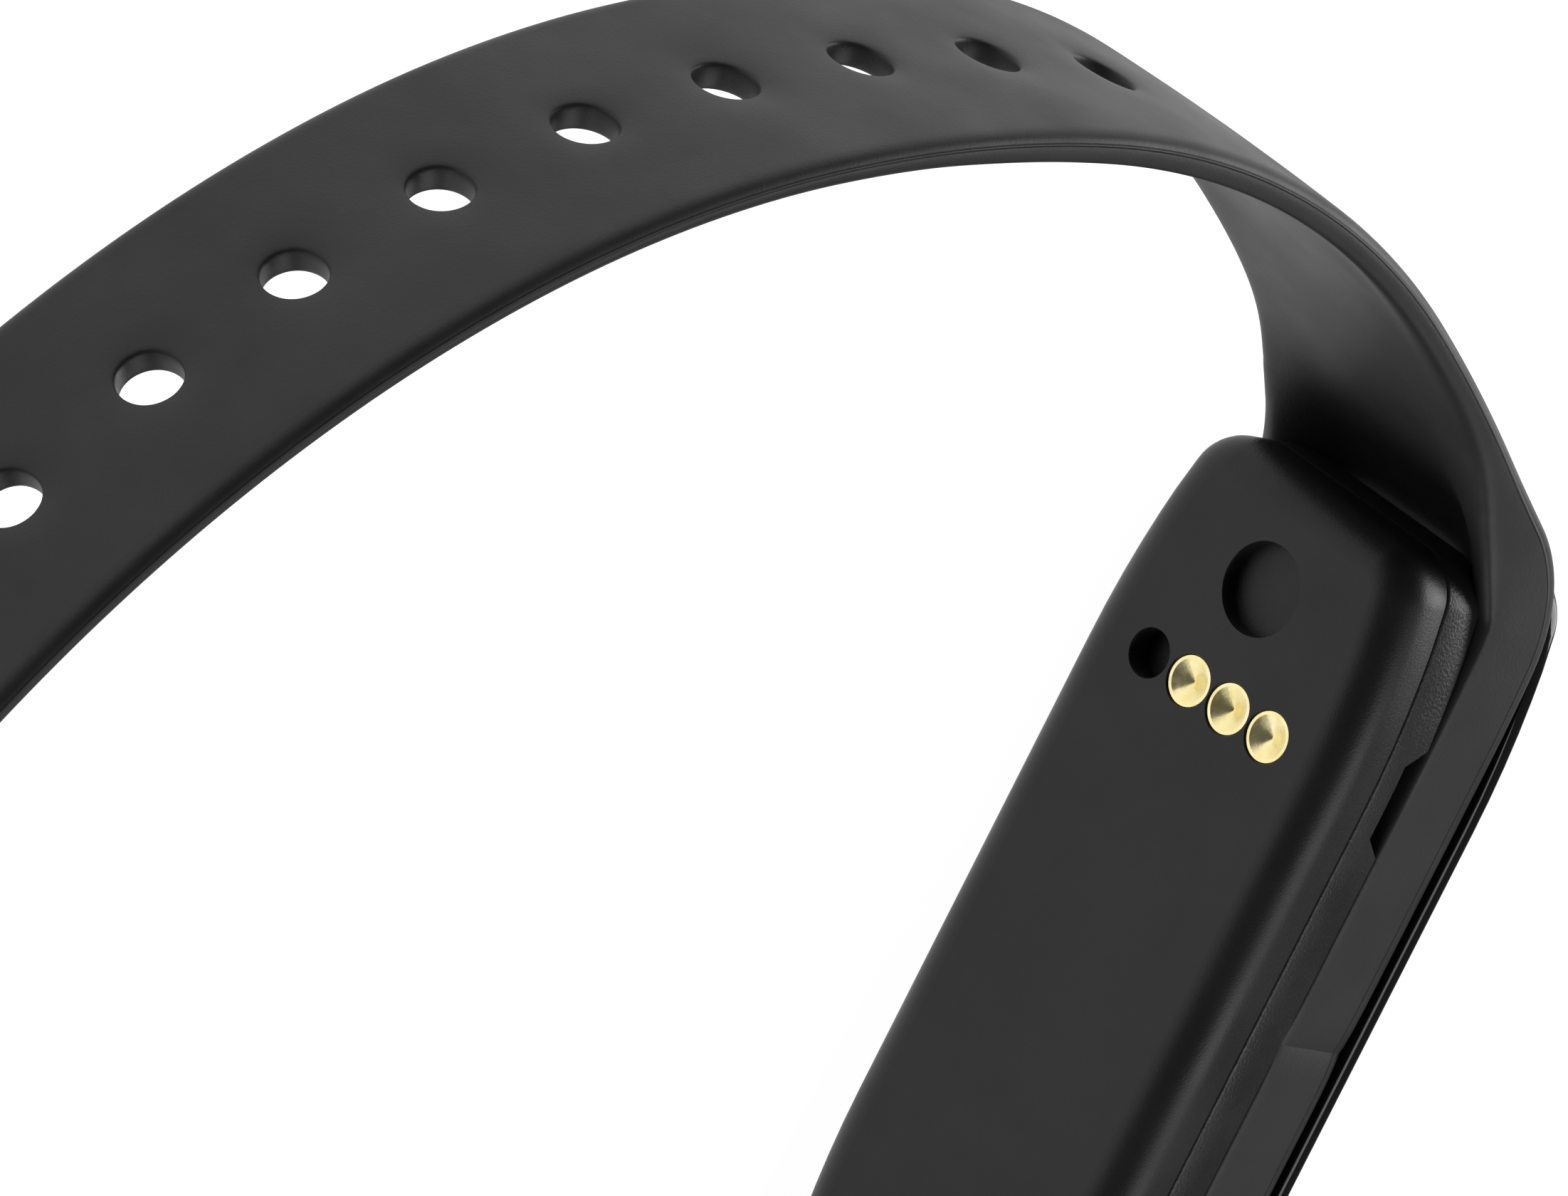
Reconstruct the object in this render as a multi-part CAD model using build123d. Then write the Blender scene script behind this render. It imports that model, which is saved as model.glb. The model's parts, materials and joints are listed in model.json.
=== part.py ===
from build123d import *
import math
import os

# Fitness tracker band: a rigid tracker module held in an elastomer wrist band with a pin buckle.
# Millimetres. The origin is the middle of the module's skin-side face.
# +X runs along the module towards the strap with holes, +Y points to the wrist,
# -Y is the outer face with the lens, and +Z runs across the band's width.

# --- module, overall ---
module_length = 46.0
module_width = 16.0
plan_corner = 2.6            # corner radius of the module seen from the front
shoulder_length = 11.5       # the module's sides curve inwards over this length at each end
shoulder_radius = 50.0
edge_break = 0.2             # small rounding along the parting line and the flange's lower edge
# depths, counted from the skin side (y = 0) towards the lens
cover_depth = 3.2            # height of the back cover, down to the parting line
flange_depth = 2.6           # visible band of the upper housing below the parting line
ring_depth = 4.6             # elastomer ring that surrounds the housing's waist
lens_bond = 0.15             # adhesive film under the lens
lens_thickness = 1.0
lens_overhang = 0.1          # how far the lens stands past the band on every side
lens_rim = 0.45              # rounding of the lens's outer rim
lens_corner = 4.6            # plan corners of the lens
parting_gap = 0.06           # hairline between back cover and upper housing
cover_wall = 1.2
cover_edge = 1.8             # rounding of the skin-side edge
housing_wall = 1.0
waist_inset = 1.5            # how far the waist lies inside the flange, where the ring sits
ring_fit = 0.05              # gap between ring and waist

# --- charging face ---
contact_pitch = 2.54
contact_spacing = 0.24       # between neighbouring contacts
contact_dish = 0.45          # depth of the conical dish
contact_lip = 0.15           # flat rim round the dish
contact_thickness = 1.3
contact_sink = 0.1           # the contacts lie this far below the face
contact_hole_gap = 0.04
contact_places = (-0.5, 0.5, 1.5)   # in pitches from the band's middle, the key hole one pitch before
contact_inset = 10.4         # contact row to the module's end
key_hole_radius = 1.1
key_hole_depth = 1.5
key_hole_wall = 0.7
recess_radius = 2.1
recess_depth = 0.9
recess_offset = 5.3          # from the contact row towards the module's end

# --- pry notch in the flange's side ---
notch_length = 3.6
notch_height = 1.2
notch_depth = 1.0
notch_offset = 10.9          # from the module's end to the middle of the notch
notch_corner = 0.35

# --- inside the module ---
board_thickness = 0.8
board_end_gap = 2.15         # from the seal's inner side to the board's end
board_side_gap = 1.05        # from the seal's inner side to the board's side, between the shoulders
board_corner = 1.0
seal_thickness = 0.6
seal_height = 0.6
skirt_gap = 0.05             # between the back cover's skirt and the housing's wall
spring_height = 1.1          # from the board to the contacts
spring_sheet = 0.15
spring_width = 1.2
battery_thickness = 4.0
battery_side_gap = 0.5       # to the housing's wall
battery_end_gap = 6.5        # from the housing's end wall to the battery
battery_board_gap = 0.5
battery_corner = 0.8
battery_edge = 0.4
pad_inset = 1.0
circuit_gap = 0.4            # from the battery's end to its protection board
circuit_thickness = 1.0
lead_room = 6.0              # between battery and motor, for the protection board and the leads
lead_radius = 0.3
lead_side = 2.0
display_length = 24.0
display_width = 7.6
display_gap = 0.1            # from the screen to the lens
display_ledge = 0.15         # the screen's back stands this far above the housing's floor
window_gap = 0.3             # between the screen and the housing's window
flex_sheet = 0.12
flex_width = 4.0
flex_gap = 0.15              # from the screw boss to the flat cable's fold
motor_radius = 2.0
motor_length = 7.0
motor_wall = 0.25
motor_inset = 9.0            # motor axis to the module's end
motor_floor_gap = 0.25
shaft_radius = 0.3
running_gap = 0.05
screw_radius = 0.6
screw_head_radius = 1.1
screw_head_height = 0.5
screw_reach = 2.5            # how far the screw goes into its boss
screw_inset = 1.6            # screw axis to the board's end
screw_edge = 1.1             # screw axis to the board's side
boss_radius = 1.3
# chips on the board: (along, across, height)
radio_chip_size = (5.0, 5.0, 0.7)
power_chip_size = (3.0, 3.0, 0.6)
motion_sensor_size = (2.0, 2.0, 0.6)
crystal_size = (2.0, 1.2, 0.5)
chip_antenna_size = (1.2, 5.0, 0.6)
antenna_inset = 1.2          # antenna's middle to the board's end
antenna_z = -1.5

# --- straps ---
strap_width = 15.0
strap_thickness = 1.6
root_thickness = 9.9         # at the root, where the module takes most of it away
taper_length = 20.0          # the strap thins over this length, fast at first
root_reach = 0.4             # outer face leaves the ring this far past the module's end
root_angle = 55.8            # heading of the outer face where it leaves the ring
# (length, radius) of the tangent arcs of the outer face, from the root outwards
strap_arcs = [(9.6, 2000), (10.6, 112), (11.4, 50.5), (18, 50), (18, 77), (18, 61), (80, 66)]
buckle_strap_length = 62.6
hole_radius = 1.5
hole_pitch = 8.25
hole_count = 10
first_hole = 42.4
tip_margin = 11.2            # from the last hole to the strap's tip
tip_corner = 5.5
flex_station = 13.0          # distance along the strap of the stand-in bending hinge
knuckle_radius = 2.4
knuckle_gap = 0.3

# --- keeper ---
keeper_station = 44.6
keeper_length = 5.0
keeper_wall = 1.2
keeper_gap = 0.3
keeper_corner = 1.0
passing_gap = 0.6            # play of the other strap between keeper and buckle strap

# --- buckle and spring bar ---
bar_radius = 0.9
bar_wall = 0.3
bar_fit = 0.03
bar_neck = 0.5               # length of the tube's narrowed mouth
bar_end_gap = 0.2            # from the tube's end to the buckle's arm
eye_wall = 0.97              # strap round the spring bar
pin_radius = 0.4
pin_shank_length = 2.4
pin_reach = 1.0              # how far the pin stands into the buckle's arm
pin_hole_gap = 0.1           # beyond the pin's tip
coil_wall = 0.2
coil_gap = 0.05
arm_thickness = 1.4
arm_height = 2.6
arm_gap = 0.35               # between arm and strap
arm_edge = 0.4               # rounding of the arms' outer edges
frame_reach = 12.5           # from the spring bar to the middle of the crossbar
crossbar_radius = 1.2
tongue_thickness = 1.0
tongue_width = 2.0
tongue_slot_gap = 0.4
tongue_wall = 0.75
tongue_rest_gap = 0.12       # between tongue and crossbar
tongue_overhang = 1.6        # tongue's tip past the crossbar's middle

# --- places that follow from the sizes above ---
parting_y = -cover_depth
flange_y = parting_y - flange_depth
ring_y = flange_y - ring_depth
lens_y = ring_y - lens_bond
front_y = lens_y - lens_thickness
contact_x = module_length / 2 - contact_inset
contact_radius = (contact_pitch - contact_spacing) / 2
contact_floor = -contact_sink - contact_thickness
shelf_y = flange_y + housing_wall
seal_top = shelf_y + seal_height
floor_y = ring_y + housing_wall
shoulder_start = module_length / 2 - shoulder_length
seal_inset = cover_wall + skirt_gap + seal_thickness
cavity_inset = waist_inset + housing_wall
board_top = contact_floor - spring_height
board_bottom = board_top - board_thickness
board_length = module_length - 2 * (seal_inset + board_end_gap)
board_width = module_width - 2 * (seal_inset + board_side_gap)
screw_side = board_width / 2 - screw_edge
motor_x = module_length / 2 - motor_inset
motor_y = floor_y + motor_radius + motor_floor_gap
battery_start = cavity_inset + battery_end_gap - module_length / 2
battery_end = motor_x - motor_radius - lead_room
battery_length = battery_end - battery_start
battery_x = (battery_start + battery_end) / 2
battery_width = module_width - 2 * (cavity_inset + battery_side_gap)
battery_top = board_bottom - battery_board_gap
battery_bottom = battery_top - battery_thickness
circuit_x = battery_end + circuit_gap + circuit_thickness / 2
display_top = floor_y + display_ledge
display_bottom = lens_y + display_gap
pad_bottom = display_top + flex_sheet + display_gap
bar_bore = bar_radius - bar_wall
pin_shank_radius = bar_bore - running_gap
eye_radius = bar_radius + bar_fit + eye_wall
hole_strap_length = first_hole + (hole_count - 1) * hole_pitch + tip_margin
arm_inner = strap_width / 2 + arm_gap
arm_outer = arm_inner + arm_thickness
bar_half = arm_inner - bar_end_gap


def slab(length, width, corner, top, bottom, x=0.0, z=0.0):
    """Plate with rounded plan corners between two depths."""
    outline = Plane.XZ.offset(-top) * Pos(x, z) * RectangleRounded(length, width, corner)
    return extrude(outline, amount=top - bottom)


def module_plan():
    """Outline of the module from the front: straight sides, drawn-in shoulders and round corners."""
    end = module_length / 2
    side = module_width / 2
    drops = []
    for reach in ((end - shoulder_start) / 2, end - shoulder_start):
        drops.append(shoulder_radius - math.sqrt(shoulder_radius**2 - reach**2))
    middle = (end + shoulder_start) / 2
    corner_z = side - drops[1]
    lines = []
    for sign in (1, -1):
        lines.append(Line((-shoulder_start, sign * side), (shoulder_start, sign * side)))
        lines.append(Line((sign * end, -corner_z), (sign * end, corner_z)))
        for way in (1, -1):
            lines.append(ThreePointArc(
                (way * shoulder_start, sign * side),
                (way * middle, sign * (side - drops[0])),
                (way * end, sign * corner_z)))
    plan = make_face(lines)
    corners = plan.vertices().filter_by(lambda corner: abs(corner.X) > end - 0.001)
    return fillet(corners, plan_corner)


def layer(inset, top, bottom):
    """Plate of the module's outline, drawn in all round by an inset, between two depths."""
    outline = module_plan()
    if inset > 0:
        outline = offset(outline, -inset)
    return extrude(Plane.XZ.offset(-top) * outline, amount=top - bottom)


def outer_edges(shape, depth):
    """Edges of a shape's outline at one depth."""
    return shape.edges().filter_by(lambda edge: abs(edge.center().Y - depth) < 0.001)


def block(length, width, top, bottom, x=0.0, z=0.0):
    """Plate with square corners between two depths."""
    outline = Plane.XZ.offset(-top) * Pos(x, z) * Rectangle(length, width)
    return extrude(outline, amount=top - bottom)


def disc(radius, top, bottom, x=0.0, z=0.0):
    """Round plate or pin whose axis runs from the skin side to the lens."""
    outline = Plane.XZ.offset(-top) * Pos(x, z) * Circle(radius)
    return extrude(outline, amount=top - bottom)


def post(radius, low, high, x, y):
    """Round pin along the band's width, between two heights."""
    return extrude(Plane.XY.offset(low) * Pos(x, y) * Circle(radius), amount=high - low)


def strap_station(distance):
    """Point and heading, in degrees, of the hole strap's outer face at a distance from its root."""
    x = module_length / 2 + root_reach
    y = ring_y
    heading = root_angle
    left = distance
    for length, radius in strap_arcs:
        step = min(left, length)
        turn = math.degrees(step / radius)
        x += radius * (math.sin(math.radians(heading + turn)) - math.sin(math.radians(heading)))
        y -= radius * (math.cos(math.radians(heading + turn)) - math.cos(math.radians(heading)))
        heading += turn
        left -= step
        if left <= 0:
            break
    return x, y, heading


def thickness_at(distance):
    """Strap thickness, which falls from the root's to the strap's over the taper."""
    left = max(1 - distance / taper_length, 0.0)
    return strap_thickness + (root_thickness - strap_thickness) * left**3


def point_in_strap(distance, depth):
    """Point below the outer face, at a depth measured towards the wrist."""
    x, y, heading = strap_station(distance)
    angle = math.radians(heading)
    return x - depth * math.sin(angle), y + depth * math.cos(angle)


def strap_profile(start, end):
    """Side view of the hole strap between two distances from the root."""
    joints = [0.0]
    for length, radius in strap_arcs:
        joints.append(joints[-1] + length)
    stops = [start] + [d for d in joints if start + 1 < d < end - 1] + [end]
    outer = []
    inner = []
    for near, far in zip(stops[:-1], stops[1:]):
        places = (near, (near + far) / 2, far)
        outer.append(ThreePointArc(*[point_in_strap(d, 0) for d in places]))
        inner.append(ThreePointArc(*[point_in_strap(d, thickness_at(d)) for d in places]))
    ends = [Line(point_in_strap(d, 0), point_in_strap(d, thickness_at(d))) for d in (start, end)]
    return make_face(outer + inner + ends)


def across_band(face, width):
    """Extrude a side view to both sides of the band's middle plane."""
    return extrude(Plane.XY.offset(-width / 2) * face, amount=width)


def strap_solid(start, end):
    return across_band(strap_profile(start, end), strap_width)


def flex_point():
    """Axis of the stand-in bending hinge, in the middle of the strap's thickness."""
    return point_in_strap(flex_station, thickness_at(flex_station) / 2)


def knuckle(radius):
    x, y = flex_point()
    return post(radius, -strap_width, strap_width, x, y)


def strap_beyond_flex(end):
    """Strap from the bending hinge outwards, with a round end that turns in the cradle's stub."""
    return strap_solid(flex_station - 0.01, end) + (strap_solid(0, flex_station) & knuckle(knuckle_radius))


# --- module shells ---
def make_back_cover():
    cover = layer(0, 0, parting_y)
    cover = fillet(outer_edges(cover, 0), cover_edge)
    cover = fillet(outer_edges(cover, parting_y), edge_break)
    cover -= layer(cover_wall, -cover_wall, parting_y)
    cover += wall_lining(-cover_wall, seal_top)
    key_z = -1.5 * contact_pitch
    boss_floor = -key_hole_depth - key_hole_wall
    cover += disc(key_hole_radius + key_hole_wall, -cover_wall, boss_floor, contact_x, key_z)
    cover -= disc(key_hole_radius, 0, -key_hole_depth, contact_x, key_z)
    cover -= disc(recess_radius, 0, -recess_depth, contact_x + recess_offset, 0)
    for place in contact_places:
        cover -= disc(contact_radius + contact_hole_gap, 0, parting_y, contact_x, place * contact_pitch)
    return cover


def make_upper_housing():
    top = parting_y - parting_gap
    flange = layer(0, top, flange_y)
    flange = fillet(outer_edges(flange, top) + outer_edges(flange, flange_y), edge_break)
    housing = flange + layer(waist_inset, flange_y, ring_y)
    housing -= layer(cover_wall, top, shelf_y)
    housing -= layer(cavity_inset, top, floor_y)
    housing -= window_cutter(floor_y, ring_y)
    for x in screw_places():
        housing += disc(boss_radius, board_bottom, floor_y, x, screw_side)
        housing -= disc(screw_radius, board_bottom, floor_y, x, screw_side)
    return housing - notch_cutter()


def window_cutter(top, bottom):
    """Room for the screen in the housing's floor and in the lens's adhesive."""
    length = display_length + 2 * window_gap
    return slab(length, display_width + 2 * window_gap, window_gap, top, bottom)


def screw_places():
    return [side * (board_length / 2 - screw_inset) for side in (-1, 1)]


def notch_cutter():
    """Trapezoid recess with slanted ends, open to the flange's side and to the ring."""
    x = module_length / 2 - notch_offset
    high = flange_y + notch_height
    outline = Polyline(
        (x - notch_length / 2 - notch_height, flange_y),
        (x - notch_length / 2, high),
        (x + notch_length / 2, high),
        (x + notch_length / 2 + notch_height, flange_y),
        close=True,
    )
    face = make_face(outline)
    face = fillet(face.vertices().filter_by(lambda corner: corner.Y > high - 0.001), notch_corner)
    return extrude(Plane.XY.offset(module_width / 2 - notch_depth) * face, amount=notch_depth)


def wall_lining(top, bottom):
    """Ring that lines the housing's wall from the inside, as the cover's skirt and the seal do."""
    inset = cover_wall + skirt_gap
    return layer(inset, top, bottom) - layer(inset + seal_thickness, top, bottom)


def make_housing_seal():
    """Gasket that the cover's skirt presses on the housing's inner shelf."""
    return wall_lining(seal_top, shelf_y)


def make_front_lens():
    length = module_length + 2 * lens_overhang
    width = module_width + 2 * lens_overhang
    lens = slab(length, width, lens_corner, lens_y, front_y)
    return fillet(lens.faces().sort_by(Axis.Y)[0].edges(), lens_rim)


def make_lens_adhesive():
    frame = layer(waist_inset, ring_y, lens_y)
    return frame - window_cutter(ring_y, lens_y)


# --- charging contacts ---
def make_charging_contacts():
    contacts = []
    for place in contact_places:
        z = place * contact_pitch
        pin = disc(contact_radius, -contact_sink, contact_floor, contact_x, z)
        dish_plane = Plane((contact_x, -contact_sink - contact_dish / 2, z), z_dir=(0, -1, 0))
        dish = dish_plane * Cone(contact_radius - contact_lip, 0.05, contact_dish)
        contacts.append(pin - dish)
    return Compound(children=contacts)


def make_contact_springs():
    """Bent leaf between board and contact, one for each."""
    leaves = []
    back = contact_x - 2 * spring_height
    length = 2 * spring_height + contact_radius / 3
    middle = back + length / 2
    for place in contact_places:
        z = place * contact_pitch
        foot = block(length, spring_width, board_top + spring_sheet, board_top, middle, z)
        riser = block(spring_sheet, spring_width, contact_floor, board_top, back + spring_sheet / 2, z)
        touch = block(length, spring_width, contact_floor, contact_floor - spring_sheet, middle, z)
        leaves.append(foot + riser + touch)
    return Compound(children=leaves)


# --- electronics ---
def make_main_board():
    board = slab(board_length, board_width, board_corner, board_top, board_bottom)
    for x in screw_places():
        board -= disc(screw_radius + skirt_gap, board_top, board_bottom, x, screw_side)
    return board


def make_board_screws():
    """Two slotted screws through the board into the housing's bosses."""
    screws = []
    slot_depth = screw_head_height / 2
    head_top = board_top + screw_head_height
    for x in screw_places():
        head = disc(screw_head_radius, head_top, board_top, x, screw_side)
        shank = disc(screw_radius, board_top, board_bottom - screw_reach, x, screw_side)
        slot = block(1.5 * screw_head_radius, slot_depth, head_top, head_top - slot_depth, x, screw_side)
        screws.append(head + shank - slot)
    return Compound(children=screws)


def chip(size, before_contacts, z):
    """Flat part on the board, placed by its distance from the contact row."""
    along, across, height = size
    return block(along, across, board_top + height, board_top, contact_x - before_contacts, z)


def make_chip_antenna():
    along, across, height = chip_antenna_size
    x = antenna_inset - board_length / 2
    return block(along, across, board_top + height, board_top, x, antenna_z)


# --- battery ---
def make_battery_cell():
    cell = slab(battery_length, battery_width, battery_corner, battery_top, battery_bottom, battery_x)
    return fillet(outer_edges(cell, battery_top) + outer_edges(cell, battery_bottom), battery_edge)


def make_battery_pad():
    """Foam under the battery that carries it on the back of the screen."""
    length = battery_length - 2 * pad_inset
    return block(length, battery_width - 2 * pad_inset, battery_bottom, pad_bottom, battery_x)


def make_battery_circuit():
    top = battery_top - battery_edge
    bottom = battery_bottom + battery_edge
    return block(circuit_thickness, battery_width - 2 * pad_inset, top, bottom, circuit_x)


def make_battery_lead(side):
    """Lead from the protection board, bent up to the underside of the main board."""
    z = side * lead_side
    start_x = circuit_x + circuit_thickness / 2
    end_x = start_x + 5 * lead_radius
    low_y = battery_top - 6 * lead_radius
    route = FilletPolyline(
        (start_x, low_y, z),
        (end_x, low_y, z),
        (end_x, board_bottom, z),
        radius=3 * lead_radius,
    )
    section = Plane(origin=route @ 0, z_dir=route % 0) * Circle(lead_radius)
    return sweep(section, path=route)


# --- display ---
def make_display_panel():
    """Screen that fills the housing's window and stops just short of the lens."""
    return block(display_length, display_width, display_top, display_bottom)


def make_display_flex():
    """Flat cable that leaves the screen's end and folds up to the board."""
    inner_x = flex_width / 2 - display_length / 2
    outer_x = screw_inset + boss_radius + flex_gap - board_length / 2
    middle = (inner_x + outer_x) / 2
    run = block(inner_x - outer_x, flex_width, display_top + flex_sheet, display_top, middle)
    riser = block(flex_sheet, flex_width, board_bottom, display_top, outer_x + flex_sheet / 2)
    return run + riser


# --- vibration motor ---
def along_width(radius, low, high):
    return post(radius, low, high, motor_x, motor_y)


def make_vibration_motor_case():
    case = along_width(motor_radius, -motor_length / 2, motor_length / 2)
    inside = motor_length / 2 - motor_wall
    return case - along_width(motor_radius - motor_wall, -inside, inside)


def make_motor_shaft():
    inside = motor_length / 2 - motor_wall
    return along_width(shaft_radius, -inside, inside)


def make_vibration_rotor():
    """Half-round weight with a hub that runs on the shaft."""
    half = motor_length / 2 - 2 * motor_wall
    weight = along_width(motor_radius - 1.6 * motor_wall, -half, half)
    room = 2 * motor_length
    weight -= Pos(motor_x, motor_y + room / 2, 0) * Box(room, room, room)
    hub = along_width(2 * shaft_radius + running_gap, -half, half)
    return weight + hub - along_width(shaft_radius + running_gap, -half, half)


# --- band ---
def make_band_cradle():
    """Ring round the housing's waist, with a stub at each end that the straps grow from."""
    ring = slab(module_length, module_width, lens_corner - lens_overhang, flange_y, ring_y)
    stub_side = [
        (module_length / 2 - 3.0, flange_y),
        (module_length / 2 - 3.0, ring_y),
        strap_station(0)[:2],
        point_in_strap(ring_depth / 2, strap_thickness / 2),
        (module_length / 2, flange_y),
    ]
    wedge = across_band(make_face(Polyline(*stub_side, close=True)), strap_width)
    stub = wedge + strap_solid(0, flex_station) - knuckle(knuckle_radius + knuckle_gap)
    stub -= slab(module_length, module_width, 0.5, 0, flange_y)
    cradle = ring + stub + mirror(stub, about=Plane.YZ)
    return cradle - layer(waist_inset - ring_fit, flange_y, ring_y)


def tip_waste():
    """What is cut away to round the hole strap's tip, seen from its outer face."""
    x, y, heading = strap_station(hole_strap_length)
    angle = math.radians(heading)
    face = Plane((x, y, 0), x_dir=heading_vector(heading), z_dir=(math.sin(angle), -math.cos(angle), 0))
    waste = Pos(1 - tip_corner / 2, 0) * Rectangle(tip_corner + 2, strap_width + 2)
    kept = Pos(-2 * tip_corner, 0) * RectangleRounded(4 * tip_corner, strap_width, tip_corner)
    return extrude(face * (waste - kept), amount=4 * strap_thickness, both=True)


def make_hole_strap():
    strap = strap_beyond_flex(hole_strap_length)
    strap -= tip_waste()
    for number in range(hole_count):
        x, y, heading = strap_station(first_hole + number * hole_pitch)
        angle = math.radians(heading)
        punch = Plane((x, y, 0), z_dir=(math.sin(angle), -math.cos(angle), 0))
        strap -= punch * Cylinder(hole_radius, 4 * strap_thickness)
    return strap


def eye_point():
    """Spring bar axis at the buckle strap's end, on the hole strap's side before mirroring."""
    return point_in_strap(buckle_strap_length, strap_thickness / 2)


def make_buckle_strap():
    x, y = eye_point()
    strap = strap_beyond_flex(buckle_strap_length)
    strap += post(eye_radius, -strap_width / 2, strap_width / 2, x, y)
    strap -= post(bar_radius + bar_fit, -strap_width, strap_width, x, y)
    slot_half = tongue_width / 2 + tongue_slot_gap
    angle = strap_station(buckle_strap_length)[2]
    slot = Box(2 * eye_radius + 1.5, 4 * eye_radius, 2 * slot_half)
    strap -= Plane((x, y, 0), x_dir=heading_vector(angle), z_dir=(0, 0, 1)) * slot
    return mirror(strap, about=Plane.YZ)


def heading_vector(degrees):
    return (math.cos(math.radians(degrees)), math.sin(math.radians(degrees)), 0)


def keeper_plane(distance):
    x, y, heading = strap_station(distance)
    return Plane((x, y, 0), x_dir=heading_vector(heading), z_dir=(0, 0, 1))


def make_keeper_loop():
    """Rectangular elastomer loop round the buckle strap, with room for the other strap outside it."""
    plane = keeper_plane(keeper_station)
    low = -strap_thickness - passing_gap
    high = strap_thickness + 1.5 * keeper_gap
    middle = (low + high) / 2
    inner = Box(keeper_length + 1, high - low, strap_width + 2 * keeper_gap)
    outer = Box(keeper_length, high - low + 2 * keeper_wall, strap_width + 2 * keeper_gap + 2 * keeper_wall)
    outer = fillet(outer.edges().filter_by(Axis.X), keeper_corner)
    loop = plane * (Pos(0, middle, 0) * (outer - inner))
    return mirror(loop, about=Plane.YZ)


# --- buckle ---
def buckle_plane():
    """Plane at the spring bar with its x axis pointing on along the strap."""
    x, y = eye_point()
    heading = strap_station(buckle_strap_length)[2]
    return Plane((x, y, 0), x_dir=heading_vector(heading), z_dir=(0, 0, 1))


def make_buckle_frame():
    """Two arms joined by a round crossbar, with blind holes for the spring bar's pins."""
    arm_outline = Pos(frame_reach / 2, 0) * Rectangle(frame_reach, arm_height)
    arm = extrude(Plane.XY.offset(arm_inner) * arm_outline, amount=arm_thickness)
    arm += post(arm_height / 2, arm_inner, arm_outer, 0, 0)
    arm += post(arm_height / 2, arm_inner, arm_outer, frame_reach, 0)
    arm = fillet(arm.faces().sort_by(Axis.Z)[-1].edges(), arm_edge)
    arm -= post(pin_radius + running_gap, arm_inner, arm_inner + pin_reach + pin_hole_gap, 0, 0)
    crossbar = post(crossbar_radius, -arm_inner, arm_inner, frame_reach, 0)
    frame = arm + mirror(arm, about=Plane.XY) + crossbar
    return mirror(buckle_plane() * frame, about=Plane.YZ)


def make_buckle_tongue():
    """Ring on the spring bar with a flat tongue that rests on the crossbar."""
    hub_radius = bar_radius + running_gap + tongue_wall
    near = -crossbar_radius - tongue_rest_gap
    far = near - tongue_thickness
    tip_x = frame_reach + tongue_overhang
    ring = post(hub_radius, -tongue_width / 2, tongue_width / 2, 0, 0)
    blade_outline = make_face(Polyline(
        (0, -hub_radius + 0.1),
        (2 * hub_radius, far),
        (tip_x - tongue_thickness / 4, far),
        (tip_x + tongue_thickness / 4, near),
        (2 * hub_radius, near),
        (hub_radius / 2, hub_radius / 2),
        close=True))
    blade = extrude(Plane.XY.offset(-tongue_width / 2) * blade_outline, amount=tongue_width)
    tongue = ring + blade - post(bar_radius + running_gap, -tongue_width, tongue_width, 0, 0)
    return mirror(buckle_plane() * tongue, about=Plane.YZ)


# --- spring bar ---
def spring_bar_piece(shape):
    return mirror(buckle_plane() * shape, about=Plane.YZ)


def make_spring_bar_tube():
    """Tube with a narrowed mouth at each end that keeps the pins in."""
    tube = post(bar_radius, -bar_half, bar_half, 0, 0)
    bore_half = bar_half - bar_neck
    tube -= post(bar_bore, -bore_half, bore_half, 0, 0)
    tube -= post(pin_radius + running_gap, -bar_half, bar_half, 0, 0)
    return spring_bar_piece(tube)


def make_spring_bar_pin(side):
    """Pin at full reach: a shank inside the tube and a thin tip in the buckle's arm."""
    shoulder = bar_half - bar_neck
    shank_ends = sorted((side * (shoulder - pin_shank_length), side * shoulder))
    tip_ends = sorted((side * shoulder, side * (arm_inner + pin_reach)))
    pin = post(pin_shank_radius, *shank_ends, 0, 0) + post(pin_radius, *tip_ends, 0, 0)
    return spring_bar_piece(pin)


def make_spring_bar_coil():
    """Stand-in sleeve for the coil between the pins."""
    end = bar_half - bar_neck - pin_shank_length - coil_gap
    coil = post(pin_shank_radius, -end, end, 0, 0)
    return spring_bar_piece(coil - post(pin_shank_radius - coil_wall, -end, end, 0, 0))


def build_all():
    return {
        "back_cover": make_back_cover(),
        "upper_housing": make_upper_housing(),
        "housing_seal": make_housing_seal(),
        "front_lens": make_front_lens(),
        "lens_adhesive": make_lens_adhesive(),
        "charging_contacts": make_charging_contacts(),
        "contact_springs": make_contact_springs(),
        "main_board": make_main_board(),
        "board_screws": make_board_screws(),
        "radio_chip": chip(radio_chip_size, 10.6, 0.0),
        "power_chip": chip(power_chip_size, 17.1, 1.5),
        "motion_sensor": chip(motion_sensor_size, 21.1, -2.0),
        "crystal": chip(crystal_size, 6.0, 3.0),
        "chip_antenna": make_chip_antenna(),
        "battery_cell": make_battery_cell(),
        "battery_pad": make_battery_pad(),
        "battery_circuit": make_battery_circuit(),
        "battery_lead_positive": make_battery_lead(1),
        "battery_lead_negative": make_battery_lead(-1),
        "display_panel": make_display_panel(),
        "display_flex": make_display_flex(),
        "vibration_motor_case": make_vibration_motor_case(),
        "motor_shaft": make_motor_shaft(),
        "vibration_rotor": make_vibration_rotor(),
        "band_cradle": make_band_cradle(),
        "hole_strap": make_hole_strap(),
        "buckle_strap": make_buckle_strap(),
        "keeper_loop": make_keeper_loop(),
        "buckle_frame": make_buckle_frame(),
        "buckle_tongue": make_buckle_tongue(),
        "spring_bar_tube": make_spring_bar_tube(),
        "spring_bar_pin_top": make_spring_bar_pin(1),
        "spring_bar_pin_bottom": make_spring_bar_pin(-1),
        "spring_bar_coil": make_spring_bar_coil(),
    }


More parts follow.
